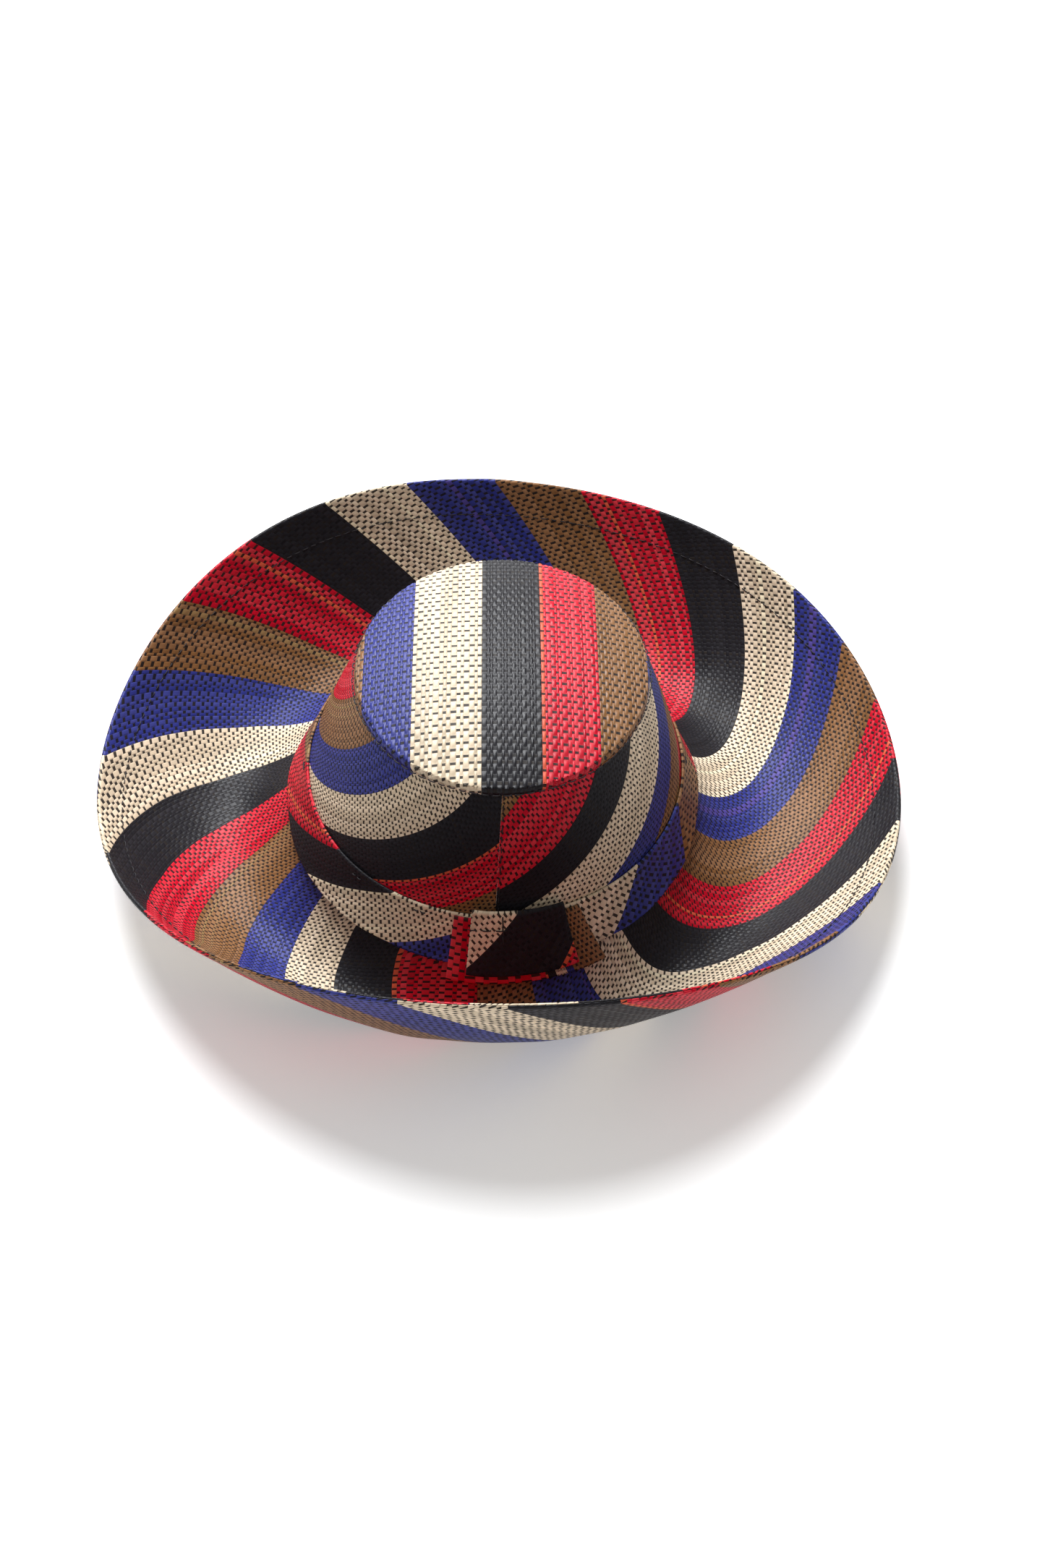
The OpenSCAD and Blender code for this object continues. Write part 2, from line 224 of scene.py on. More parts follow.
def lower_stripe(t, s):
    """Stripe number on the brim's under layer."""
    return 4 - (t - 243) / STRIPE_DEG + 3 * (1 - s ** 2)


def slant(d):
    """Degrees that a stripe of the crown side has turned at depth d below the tip seam."""
    return 0.55 * d + 0.0105 * d ** 2


LEFT_EDGE = ([-90, 214, 236, 260, 285, 400], [4 + 304 / 22.3, 4, 3, 2, 1, 1 - 115 / 22.3])
RIGHT_EDGE = ([200, 277.5, 308.5, 329.5, 358.5, 380, 640], [5 - 77.5 / 24.3, 5, 6, 7, 8, 9, 9 + 260 / 24.3])
TIP_EDGE = ([-80, -58, -37, -8, 16, 40, 80], [5.2, 4, 3, 2, 1, 0, -1.9])
BAND_EDGE = ([270, 298, 316.5, 343, 374, 576, 599, 632, 664], [1.4, 2.4, 3, 4, 5, 11, 12, 13, 14])
BAND_LEAN = ([270, 298, 320, 345, 365, 450, 537, 640], [13, 13.5, 11, 5, 8, 18, 30, 30])


def band_stripe(t, k):
    """Stripe number on the band at angle t and share k of its height."""
    return np.interp(t + np.interp(t, *BAND_LEAN) * (1 - k), *BAND_EDGE)


print("stripes round the brim at the head line:", float(upper_stripe(np.array(-94.0), np.array(0.0))))

# %% [markdown]
# ## How the weave is coordinated
# Every cloth vertex carries two numbers in a UV map: which strand it is on, and which
# crossing thread. The material draws the strands from them, so the pattern follows the cloth
# round every curve. Hand-split raffia is uneven, so the strand number is bent a little by two
# sine waves. The same rule raises real relief: the full weave on the tip, and the strands alone
# on the crown sides and the band. Crossing threads lie square to the strands. A formula numbers
# them on the crown, the band and the knot, and the swept brim has them fitted.

# %% Weave rules
STRANDS = 16


def uneven(u):
    """Strand number after the uneven widths of hand-split raffia."""
    return u + 0.2 * np.sin(1.7 * u) + 0.07 * np.sin(4.3 * u)


def even(u):
    """The straight strand number whose uneven one is u."""
    table = np.arange(u.min() - 2, u.max() + 2, 0.02)
    return np.interp(u, uneven(table), table)


def relief(weave, height):
    """Height of the woven face: strands rise over one crossing thread and dip under the next."""
    u, v = uneven(weave[..., 0]), weave[..., 1]
    across, along = u - np.floor(u) - 0.5, v - np.floor(v) - 0.5
    over = 1 - 2 * ((np.floor(u) + np.floor(v)) % 2)
    crest = np.cos(np.pi * across) ** 0.5 * np.cos(np.pi * along)
    return height * (over * crest - 0.5 * (2 * np.abs(across)) ** 6)


def ridges(weave, height):
    """Height of the strands alone, as low rounded ridges."""
    u = uneven(weave[..., 0])
    return height * np.cos(np.pi * (u - np.floor(u) - 0.5)) ** 0.5


def square_rows(points, number, pitch):
    """Numbers of crossing threads on a grid, square to the strands that number counts.

    No formula gives them on a swept brim. They are the field whose slope fits the strands'
    direction best, found by least squares with conjugate gradients."""
    right, down = np.gradient(points, axis=1), np.gradient(points, axis=0)
    along = (np.gradient(number, axis=1)[..., None] * down - np.gradient(number, axis=0)[..., None] * right)
    along *= np.sign(np.sum(along * down, -1).mean()) / np.linalg.norm(along, axis=-1)[..., None]
    step_r, step_d = np.diff(points, axis=1), np.diff(points, axis=0)
    wish_r = np.sum(step_r * (along[:, 1:] + along[:, :-1]) / 2, -1) / pitch
    wish_d = np.sum(step_d * (along[1:] + along[:-1]) / 2, -1) / pitch
    weight_r, weight_d = 1 / np.sum(step_r ** 2, -1), 1 / np.sum(step_d ** 2, -1)

    def gather(r, d, back=-1):
        total = np.zeros(number.shape)
        total[:, 1:] += r
        total[:, :-1] += back * r
        total[1:] += d
        total[:-1] += back * d
        return total

    scale = gather(weight_r, weight_d, back=1)
    rows = np.concatenate([np.zeros((1, number.shape[1])), np.cumsum(wish_d, axis=0)])
    rows += np.concatenate([[0], np.cumsum(wish_r[0])])
    left = gather(weight_r * (wish_r - np.diff(rows, axis=1)), weight_d * (wish_d - np.diff(rows, axis=0)))
    move = left / scale
    score = np.sum(left * move)
    for _ in range(1500):
        slope = gather(weight_r * np.diff(move, axis=1), weight_d * np.diff(move, axis=0))
        stride = score / np.sum(move * slope)
        rows += stride * move
        left -= stride * slope
        better = np.sum(left * left / scale)
        if better < 1e-9:
            break
        move = left / scale + better / score * move
        score = better
    return rows


# %% [markdown]
# ## Mathematical dyes
# Shader maths reads best as ordinary Python. This small class wraps a socket, so that
# `1 - mask * 2` adds the Math nodes by itself, and one method adds any other node.

# %% A socket that Python can calculate with
class Dye:
    def __init__(self, tree, socket=None):
        self.tree, self.socket = tree, socket

    def node(self, kind, inputs, out=0, stops=None, **settings):
        """Adds a node: its settings and ramp stops first, then its values and links."""
        new = self.tree.nodes.new(kind)
        for key, value in settings.items():
            setattr(new, key, value)
        if stops:
            ramp = new.color_ramp
            ramp.interpolation = "CONSTANT"
            while len(ramp.elements) < len(stops):
                ramp.elements.new(1.0)
            for element, (place, colour) in zip(ramp.elements, stops):
                element.position, element.color = place, (*colour, 1)
        for key, value in inputs.items():
            if isinstance(value, Dye):
                self.tree.links.new(value.socket, new.inputs[key])
            else:
                new.inputs[key].default_value = value
        return Dye(self.tree, new.outputs[out])

    def maths(self, operation, a, b=0.0):
        return self.node("ShaderNodeMath", {0: a, 1: b}, operation=operation)

    def __add__(self, other):
        return self.maths("ADD", self, other)

    def __sub__(self, other):
        return self.maths("SUBTRACT", self, other)

    def __rsub__(self, other):
        return self.maths("SUBTRACT", other, self)

    def __mul__(self, other):
        return self.maths("MULTIPLY", self, other)

    def __truediv__(self, other):
        return self.maths("DIVIDE", self, other)

    def __mod__(self, other):
        return self.maths("FLOORED_MODULO", self, other)

    def __pow__(self, other):
        return self.maths("POWER", self, other)

    def __abs__(self):
        return self.maths("ABSOLUTE", self)

    __radd__, __rmul__ = __add__, __mul__

    def floor(self):
        return self.maths("FLOOR", self)

    def sine(self):
        return self.maths("SINE", self)

    def larger(self, other):
        return self.maths("MAXIMUM", self, other)

    def step(self, low, high):
        """0 where the value is low, 1 where it is high, softly between."""
        return self.node("ShaderNodeMapRange", {"Value": self, "From Min": low, "From Max": high},
                         interpolation_type="SMOOTHSTEP")

    def blend(self, a, b):
        """Colour a where this mask is 0, colour b where it is 1."""
        return self.node("ShaderNodeMix", {0: self, 6: a, 7: b}, out=2, data_type="RGBA")


def new_material(name, **shader):
    """A material with one Principled shader. Its even values go straight on the sockets."""
    material = bpy.data.materials.new(name)
    material.use_nodes = True
    tree = material.node_tree
    tree.nodes.clear()
    out = tree.nodes.new("ShaderNodeOutputMaterial")
    skin = tree.nodes.new("ShaderNodeBsdfPrincipled")
    tree.links.new(skin.outputs[0], out.inputs[0])
    for key, value in shader.items():
        skin.inputs[key.replace("_", " ")].default_value = value
    return material, Dye(tree), skin


# %% [markdown]
# ## The raffia itself
# Wide, flat, dyed strands run along the stripe, and a thin dark thread crosses them. Where
# the thread passes over a strand it shows as a small dark dash, in a checker order. Strands
# differ in dye, and the dye fades and darkens along their length. Raffia has the satin shine
# of a split leaf, so the strands are smoother than the gaps between them.

# %% Raffia material
DYES = [(0.60, 0.008, 0.026), (0.014, 0.013, 0.017), (0.76, 0.62, 0.45), (0.036, 0.044, 0.24),
        (0.26, 0.125, 0.052)]
THREAD_DARK, THREAD_BROWN = (0.006, 0.005, 0.007, 1), (0.018, 0.013, 0.010, 1)


def raffia(name, weft_share, bump_mm, shine, cross_tint=0.04):
    """Woven raffia. weft_share is the part of each row that the crossing thread covers."""
    material, dye, skin = new_material(name, Specular_IOR_Level=shine)
    weave = dye.node("ShaderNodeUVMap", {}, uv_map="weave")
    parts = weave.node("ShaderNodeSeparateXYZ", {0: weave})
    u, v = parts, Dye(dye.tree, parts.socket.node.outputs[1])
    u = u + (u * 1.7).sine() * 0.2 + (u * 4.3).sine() * 0.07
    strand, row = u.floor(), v.floor()
    across, along = abs(u - strand - 0.5), abs(v - row - 0.5)
    crossed = (strand + row) % 2
    stripe = (strand / STRANDS + 0.001).floor() % 5
    colour = stripe.node("ShaderNodeValToRGB", {0: stripe / 5 + 0.1},
                         stops=[(k / 5, c) for k, c in enumerate(DYES)])
    shade = strand.node("ShaderNodeTexWhiteNoise", {"W": strand}, noise_dimensions="1D")
    place = strand.node("ShaderNodeCombineXYZ", {0: strand, 1: row})
    patch = place.node("ShaderNodeTexWhiteNoise", {"Vector": place}, noise_dimensions="2D")
    run = u.node("ShaderNodeCombineXYZ", {0: u * 0.55, 1: v * 0.035})
    streak = run.node("ShaderNodeTexNoise", {"Vector": run, "Scale": 1.0, "Detail": 3.0},
                      noise_dimensions="2D")
    value = 0.72 + shade * 0.30 + patch * 0.12 + (streak - 0.5) * 0.45
    odd = shade.step(0.93, 0.96) * 0.02
    colour = colour.node("ShaderNodeHueSaturation", {"Hue": odd + 0.5, "Value": value, "Color": colour,
                                                     "Saturation": 1.06 - shade * 0.12})
    area = u.node("ShaderNodeCombineXYZ", {0: u * 0.11, 1: v * 0.06})
    area = area.node("ShaderNodeTexNoise", {"Vector": area, "Scale": 1.0, "Detail": 2.0},
                     noise_dimensions="2D")
    reach = (area * 0.36 + 0.30) * weft_share
    thread = crossed * (1 - (along - reach).step(-0.05, 0.05)) * (1 - across.step(0.43, 0.5))
    # Painted shade: the grooves between the strands are blended about a third of the way to near black.
    gap = across.step(0.43, 0.5) * 0.35
    pick = row.node("ShaderNodeTexWhiteNoise", {"W": row + 0.5}, noise_dimensions="1D")
    dark = (pick * pick).blend(THREAD_DARK, THREAD_BROWN)
    dark = dye.node("ShaderNodeMix", {0: cross_tint, 6: dark, 7: colour}, out=2, data_type="RGBA")
    # Painted shade in the grooves between the strands.
    colour = gap.blend(colour, (0.012, 0.010, 0.010, 1))
    colour = thread.blend(colour, dark)
    height = (0.5 + (0.5 - crossed) * (1 - (along * 2) ** 2)) * (1 - (across * 2) ** 4)
    height = height.larger(thread * 0.45)
    bump = height.node("ShaderNodeBump", {"Height": height, "Distance": bump_mm * MM, "Strength": 1.0})
    rough = 0.34 + shade * 0.12 + thread * 0.2 + gap * 0.3
    for socket, value in (("Base Color", colour), ("Roughness", rough), ("Normal", bump)):
        dye.tree.links.new(value.socket, skin.inputs[socket])
    return material


crown_raffia = raffia("raffia_crown", 0.42, 0.18, 0.20)
side_raffia = raffia("raffia_side", 0.56, 0.12, 0.10)
brim_raffia = raffia("raffia_brim", 0.60, 0.14, 0.13)
band_raffia = raffia("raffia_band", 0.56, 0.12, 0.12)
print("raffia materials:", 4)

# %% [markdown]
# ## Cloth from a grid
# Each panel is a grid of points with its weave coordinates. Grid columns follow the strands
# wherever the relief is real. Columns that would run past a seam are stopped at it, so
# several points fall together there and are merged. A Solidify modifier then gives the
# cloth its thickness.

# %% Cloth helper
def grid_faces(rows, columns, flip):
    r, c = np.meshgrid(np.arange(rows - 1), np.arange(columns - 1), indexing="ij")
    a = (r * columns + c).ravel()
    quads = np.stack([a, a + 1, a + columns + 1, a + columns], -1)
    return quads[:, ::-1] if flip else quads


def cloth(name, points, weave, material, flip=False, height=None, thick=0.92 * CLOTH, side=-1.0):
    """A cloth object from points (rows, columns, 3) in mm. side says where the thickness goes."""
    rows, columns = points.shape[:2]
    mesh = bpy.data.meshes.new(name)
    mesh.from_pydata((points.reshape(-1, 3) * MM).tolist(), [], grid_faces(rows, columns, flip).tolist())
    corner = np.zeros(len(mesh.loops), np.int32)
    mesh.loops.foreach_get("vertex_index", corner)
    layer = mesh.uv_layers.new(name="weave")
    layer.data.foreach_set("uv", weave.reshape(-1, 2)[corner].astype(np.float32).ravel())
    if height is not None:
        normal = np.zeros(rows * columns * 3, np.float32)
        mesh.vertices.foreach_get("normal", normal)
        moved = points.reshape(-1, 3) + normal.reshape(-1, 3) * height.reshape(-1, 1)
        mesh.vertices.foreach_set("co", (moved * MM).astype(np.float32).ravel())
    piece = bpy.data.objects.new(name, mesh)
    bpy.context.scene.collection.objects.link(piece)
    work = bmesh.new()
    work.from_mesh(mesh)
    bmesh.ops.remove_doubles(work, verts=work.verts, dist=0.00003)
    bmesh.ops.dissolve_degenerate(work, edges=work.edges, dist=0.000005)
    work.to_mesh(mesh)
    work.free()
    mesh.shade_smooth()
    mesh.materials.append(material)
    if thick:
        wall = piece.modifiers.new("cloth_thickness", "SOLIDIFY")
        wall.thickness, wall.offset = thick * MM, side
    return piece


def place_cloth(piece, node):
    """Hides the CAD node that a cloth piece stands for, hangs the piece on the root, and prints how far it lies
    off that node's box.
    """
    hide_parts(node)
    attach(piece, "root")
    co = np.array([v.co for v in piece.data.vertices]) / MM
    low, high = span(node)
    print(f"{piece.name}: {len(piece.data.polygons)} faces, off the CAD box by",
          np.round(co.min(0) - low, 1), np.round(co.max(0) - high, 1))
    return piece


# %% [markdown]
# ## Crown tip
# The tip is an oval of cloth, slightly domed, whose edge is turned down outside the crown
# side and sewn through. The grid follows the straight stripes: columns run along the
# strands, and each is stopped at the oval's edge before it turns down.

# %% Crown tip
TIP_PITCH = 3.3
FIRST_STRAND, LAST_STRAND, ROWS_EACH_WAY, SPLIT = -33, 96, 27, 3
strand_steps = np.arange(FIRST_STRAND * SPLIT, LAST_STRAND * SPLIT + 1) / SPLIT
tip_u = even(strand_steps)
tip_x = np.interp(tip_u, np.array(TIP_EDGE[1])[::-1] * STRANDS, np.array(TIP_EDGE[0])[::-1])
tip_x = np.concatenate([[-TIP_A], np.sort(tip_x[np.abs(tip_x) < TIP_A - 0.05]), [TIP_A]])
tip_rows = np.arange(-ROWS_EACH_WAY * SPLIT, ROWS_EACH_WAY * SPLIT + 1) / SPLIT * TIP_PITCH
edge_y = TIP_B * np.sqrt(np.clip(1 - (tip_x / TIP_A) ** 2, 0, 1))
X, Y = np.meshgrid(tip_x, tip_rows)
Y = np.clip(Y, -edge_y, edge_y)
dome = tip_at(X, Y, CLOTH + 0.6)


def turned_edge(sign):
    """The edge of the tip beyond the seam on one side: points, and where they were cut."""
    t = np.degrees(np.arctan2(sign * edge_y / TIP_B, tip_x / TIP_A))
    outward = np.stack([cosd(t) / TIP_A, sind(t) / TIP_B], -1)
    outward /= np.linalg.norm(outward, axis=-1)[:, None]
    points, cut = [], []
    for drop, off in ((-0.5, 0.45), (0.1, 0.7), (0.7, 0.78), (TIP_TURN, CLOTH + GAP)):
        points.append(crown_at(t, CROWN_H, off) - [0, 0, drop])
        cut.append(np.stack([tip_x, sign * edge_y], -1) + outward * (drop + 1.0))
    return np.array(points), np.array(cut)


front_points, front_cut = turned_edge(-1)
back_points, back_cut = turned_edge(1)
tip_points = np.concatenate([front_points[::-1], dome, back_points])
tip_cut = np.concatenate([front_cut[::-1], np.stack([X, Y], -1), back_cut])
tip_weave = np.stack([np.interp(tip_cut[..., 0], *TIP_EDGE) * STRANDS, tip_cut[..., 1] / TIP_PITCH], -1)
tip_height = relief(tip_weave, 0.16)
tip_height[:4] *= 0.3
tip_height[-4:] *= 0.3
crown_tip = cloth("crown_tip_cloth", tip_points, tip_weave, crown_raffia, height=tip_height)
place_cloth(crown_tip, "crown_tip")

# %% [markdown]
# ## Crown sides
# Two panels close the crown, joined upright at the front and the back. Their stripes slant,
# and run towards each other at the front seam. Grid columns follow the strands and grid rows
# are level, while the crossing threads are numbered square to the strands.

# %% Crown side panels
SIDE_PITCH, SIDE_RADIUS = 2.2, 80
side_depth = np.linspace(0, CROWN_H - 0.6, 60)


def side_panel(name, node, seam, edge, falling):
    """Half the crown side, from one upright seam to the other."""
    gap = math.degrees(SEAM / 2 / HEAD_B)
    first, last = seam + gap, seam + 180 - gap
    numbers = np.interp([first - 2, last + slant(side_depth[-1]) + 2], *edge) * STRANDS
    steps = even(np.arange(np.floor(numbers.min()) * 2, numbers.max() * 2 + 1) / 2)
    order = slice(None, None, -1) if falling else slice(None)
    lines = np.sort(np.interp(steps / STRANDS, np.array(edge[1])[order], np.array(edge[0])[order]))
    T, D = np.meshgrid(lines, side_depth)
    T = np.clip(T - slant(D), first, last)
    lean = SIDE_RADIUS * np.radians(0.55 + 0.021 * D)
    rows = np.log(lean) / (SIDE_RADIUS * np.radians(0.021)) - SIDE_RADIUS * np.radians(T)
    weave = np.stack([np.interp(T + slant(D), *edge) * STRANDS, rows / SIDE_PITCH], -1)
    height = ridges(weave, 0.12)
    height[(T <= first) | (T >= last)] = 0
    piece = cloth(name, crown_at(T, CROWN_H - D, -0.1), weave, side_raffia, flip=True, height=height)
    return place_cloth(piece, node)


side_panel("crown_side_left_cloth", "crown_side_left", BACK, LEFT_EDGE, True)
side_panel("crown_side_right_cloth", "crown_side_right", FRONT, RIGHT_EDGE, False)

# %% [markdown]
# ## Brim
# The brim has two layers, cut on the bias so that the stripes sweep round. The upper layer's
# inner edge is turned up inside the crown. At the rim each layer bends half way round the wire,
# and the two meet on its outermost line. Cloth that has been pressed by hand is never quite
# smooth, so both layers share one gentle ripple, and a crease runs along a red stripe at the left.

# %% Ripple shared by both layers
CREASE_AT = 5.45


def ripple(t, s):
    """How far the brim stands off its smooth surface, in mm. It dies out at both edges."""
    held = np.sin(np.pi * np.clip(s / HEM, 0, 1)) ** 2
    waves = (0.6 * sind(5 * t + 40) + 0.45 * sind(9 * t + 300 * s) + 0.3 * sind(16 * t - 420 * s + 70)
             + 0.2 * sind(29 * t + 700 * s))
    crease = np.exp(-((upper_stripe(t, s) - CREASE_AT) / 0.05) ** 2)
    crease = crease * smooth(s, 0.3, 0.5) * (1 - smooth(s, 0.85, HEM))
    return 0.8 * held * waves - 1.2 * crease * (t > 90)


BRIM_PITCH = 1.65
HEM_TURNS = (68, 46, 24, 5)
UPSTAND = (8, 4, 0.9)
BRIM_STEPS = np.concatenate([np.linspace(0.02, HEM, 70), np.linspace(HEM, 1.0, 10)[1:]])


# %% Upper layer with its hem
seam_deg = math.degrees(SEAM / 2 / HEAD_B)
upper_t = np.linspace(UPPER_SEAM - 360 + seam_deg, UPPER_SEAM - seam_deg, 481)
T, S = np.meshgrid(upper_t, BRIM_STEPS)
upper_points = brim_at(T, S, ply_half(S, T) + CLOTH + ripple(T, S))
upper_rows = square_rows(brim_at(T, S), upper_stripe(T, S), BRIM_PITCH)
upper_weave = np.stack([upper_stripe(T, S) * STRANDS, upper_rows], -1)


def hem(t, weave, side):
    """The last of a layer, bent round the wire to the rim's outermost line."""
    reach = ply_half(1.0, t) + CLOTH
    points = [brim_at(t, 1.0, side * reach * sind(a), reach * cosd(a)) for a in HEM_TURNS]
    cut = [weave + np.stack([0 * t, reach * math.radians(90 - a) / BRIM_PITCH], -1) for a in HEM_TURNS]
    return points, cut


hem_points, hem_weave = hem(upper_t, upper_weave[-1], 1)
inside = -(CLOTH + GAP)
up_points = [crown_at(upper_t, z, inside) for z in UPSTAND]
up_weave = [upper_weave[0] - [0, (z + 1) / BRIM_PITCH] for z in UPSTAND]
upper_all = np.concatenate([up_points, upper_points, hem_points])
brim_upper = cloth("brim_upper_cloth", upper_all, np.concatenate([up_weave, upper_weave, hem_weave]),
                   brim_raffia, flip=True)
place_cloth(brim_upper, "brim_upper")

# %% Under layer
lower_t = np.linspace(LOWER_SEAM + seam_deg, LOWER_SEAM + 360 - seam_deg, 481)
T, S = np.meshgrid(lower_t, np.concatenate([[0.04], BRIM_STEPS[1:]]))
turned = (T - UPPER_SEAM) % 360 + UPPER_SEAM - 360
lower_points = brim_at(T, S, ripple(turned, S) - ply_half(S, T) - CLOTH)
lower_weave = np.stack([lower_stripe(T, S) * STRANDS,
                        square_rows(brim_at(T, S), lower_stripe(T, S), BRIM_PITCH)], -1)
hem_points, hem_weave = hem(lower_t, lower_weave[-1], -1)
brim_lower = cloth("brim_lower_cloth", np.concatenate([lower_points, hem_points]),
                   np.concatenate([lower_weave, hem_weave]), brim_raffia)
place_cloth(brim_lower, "brim_lower")

# %% [markdown]
# ## Hat band
# The band is a strip of the same cloth folded double, with the fold upwards. Its stripes lean
# over because it was cut on the bias, and its lower edge stands off the crown. It is modelled
# as one sheet that runs up the inside, over the fold and down the outside.

# %% Folded strips
def folded_rows(low, high, outer_rows, layers):
    """Heights and stand-offs along a folded strip's section: up inside, over, and down outside.

    With three layers the end is folded under once more and runs up between the other two."""
    reach_in = np.linspace(low, high - (layers - 1) / 2, 8)
    rows = [(z, 0.5) for z in reach_in]
    middle, radius = layers / 2, (layers - 1) / 2
    rows += [(high - radius + radius * sind(a), middle - radius * cosd(a)) for a in (30, 60, 90, 120, 150)]
    rows += [(z, layers - 0.5) for z in np.linspace(high - radius, low, outer_rows)]
    if layers == 3:
        rows += [(low - 0.5 * sind(a), 2 + 0.5 * cosd(a)) for a in (45, 90, 135)]
        rows += [(z, 1.5) for z in np.linspace(low, high - 5, 6)]
    return np.array(rows).T


BAND_PITCH = 2.0
band_z, band_layer = folded_rows(BAND_LOW, BAND_HIGH, 46, 2)
band_share = np.clip((band_z - BAND_LOW) / (BAND_HIGH - BAND_LOW), 0, 1)
BAND_JOIN = 276
band_first, band_last = BAND_JOIN + 0.1, BAND_JOIN + 359.9
numbers = np.arange(int(1.0 * STRANDS) * 2, int(13.9 * STRANDS) * 2) / 2
lines = np.interp(even(numbers) / STRANDS, BAND_EDGE[1], BAND_EDGE[0])
T, K = np.meshgrid(lines, band_share)
leaning = T.copy()
for _ in range(8):
    T = leaning - np.interp(T, *BAND_LEAN) * (1 - K)
T = np.clip(T, band_first, band_last)
Z = np.broadcast_to(band_z[:, None], T.shape)
stand = GAP + BAND_FLARE * (1 - K) ** 2 + band_layer[:, None] * CLOTH
puff = 0.35 * sind(7 * T + 60 * K) + 0.25 * sind(13 * T + 200 * K)
turn_at = np.arange(270, 641.0)
lean_at = np.arctan(np.radians(np.interp(turn_at, *BAND_LEAN)) * HEAD_A / (BAND_HIGH - BAND_LOW))
slid = np.concatenate([[0], np.cumsum(np.sin(lean_at[:-1]) * np.radians(1) * HEAD_A)])
band_rows = (BAND_HIGH - Z) * np.cos(np.interp(T, turn_at, lean_at)) - np.interp(T, turn_at, slid)
band_weave = np.stack([band_stripe(T, K) * STRANDS, band_rows / BAND_PITCH], -1)
band_height = ridges(band_weave, 0.12) * (band_layer[:, None] > 1.2)
hat_band = cloth("hat_band_cloth", crown_at(T, Z, stand + puff * (1 - K)), band_weave, band_raffia,
                 flip=True, height=band_height, side=0.0)
place_cloth(hat_band, "hat_band")

# %% [markdown]
# ## Knot
# The band's ends are hidden by a flat knot made from two more folded strips. The lower one
# shows red at its left end and brown at its right, and the upper one shows a cream corner, a
# wide black field and a red corner, because its stripes run across it at a slant.

# %% Knot pieces
def knot_point(left, width, splay, u, z, off):
    """Share u of the way along a knot piece, which is wider towards its bottom by splay degrees."""
    k = (z - BAND_HIGH + KNOT_H - KNOT_RISE) / KNOT_H
    flare = BAND_FLARE * np.clip((BAND_HIGH - z) / (BAND_HIGH - BAND_LOW), 0, 2) ** 2
    turn = math.degrees(width / (HEAD_A + 5)) + splay * (0.5 - k)
    return left + turn * u, z, GAP + 2 * CLOTH + KNOT_LIFT + flare + off


def knot_strip(name, node, shape, low, high, layers, inner, stripes, lean):
    """A folded strip lying on the band's front."""
    z, layer = folded_rows(low, high, 40, layers)
    U, R = np.meshgrid(np.linspace(0, 1, 90), np.arange(len(z)))
    Z, L = z[R], layer[R]
    sag = 0.4 * np.sin(U * np.pi) * np.sin(np.pi * np.clip((Z - low) / (high - low), 0, 1))
    ends = 0.5 * (np.abs(U - 0.5) * 2) ** 8
    T, Z, stand = knot_point(*shape, U, Z, inner + L * CLOTH + sag - ends)
    A = U * shape[1]
    weave = np.stack([stripes(A, Z) * STRANDS, (Z + lean * A) / math.hypot(1, lean) / BAND_PITCH], -1)
    piece = cloth(name, crown_at(T, Z, stand), weave, band_raffia, flip=True, side=0.0)
    return place_cloth(piece, node)


def lower_field(a, z):
    return np.interp(a, [0, 38, 41, 45, 48, KNOT_W], [0.15, 0.95, 2.0, 2.95, 4.02, 4.8])


FOLD_LEAN, FOLD_STRIPE = 0.94, 37.5


def fold_field(a, z):
    return 2 - (a - FOLD_LEAN * (z - 5)) / FOLD_STRIPE


KNOT_SHAPE, FOLD_SHAPE = (KNOT_FROM, KNOT_W, 7), (FOLD_FROM, FOLD_W, 3.5)
FOLD_OFF = 2 * CLOTH + KNOT_LIFT
KNOT_PLY = KNOT_H - KNOT_RISE
knot_strip("knot_lower_cloth", "knot_lower", KNOT_SHAPE, BAND_HIGH - KNOT_PLY + 0.4,
           BAND_HIGH - 0.5, 2, 0, lower_field, 0.0)
knot_strip("knot_fold_cloth", "knot_fold", FOLD_SHAPE, BAND_HIGH + KNOT_RISE - KNOT_PLY + 0.5,
           BAND_HIGH + KNOT_RISE, 3, FOLD_OFF, fold_field, FOLD_LEAN)

# %% [markdown]
# ## Sweatband
# A ribbed cotton tape lines the head opening, and a short tab covers its join at the back.
# It is soft, so its free upper edge waves a little. Cotton is matte, with fine upright ribs.

# %% Cotton material
def cotton(name):
    material, dye, skin = new_material(name, Sheen_Weight=0.3, Specular_IOR_Level=0.25)
    weave = dye.node("ShaderNodeUVMap", {}, uv_map="weave")
    parts = weave.node("ShaderNodeSeparateXYZ", {0: weave})
    u, v = parts, Dye(dye.tree, parts.socket.node.outputs[1])
    rib = (u * 7.0).sine()
    thread = (v * 12.0).sine() * 0.3
    cloud = weave.node("ShaderNodeTexNoise", {"Vector": weave, "Scale": 0.08, "Detail": 4.0},
                       noise_dimensions="2D")
    colour = cloud.blend((0.62, 0.56, 0.45, 1), (0.80, 0.76, 0.66, 1))
    colour = (rib * 0.15 + 0.15).blend(colour, (0.50, 0.45, 0.36, 1))
    bump = rib.node("ShaderNodeBump", {"Height": rib + thread, "Distance": 0.00015, "Strength": 1.0})
    rough = 0.78 + cloud * 0.15
    for socket, value in (("Base Color", colour), ("Roughness", rough), ("Normal", bump)):
        dye.tree.links.new(value.socket, skin.inputs[socket])
    return material


cotton_tape = cotton("cotton_tape")

# %% Sweatband and tab
SWEAT_OFF = -(2 * CLOTH + 2 * GAP)


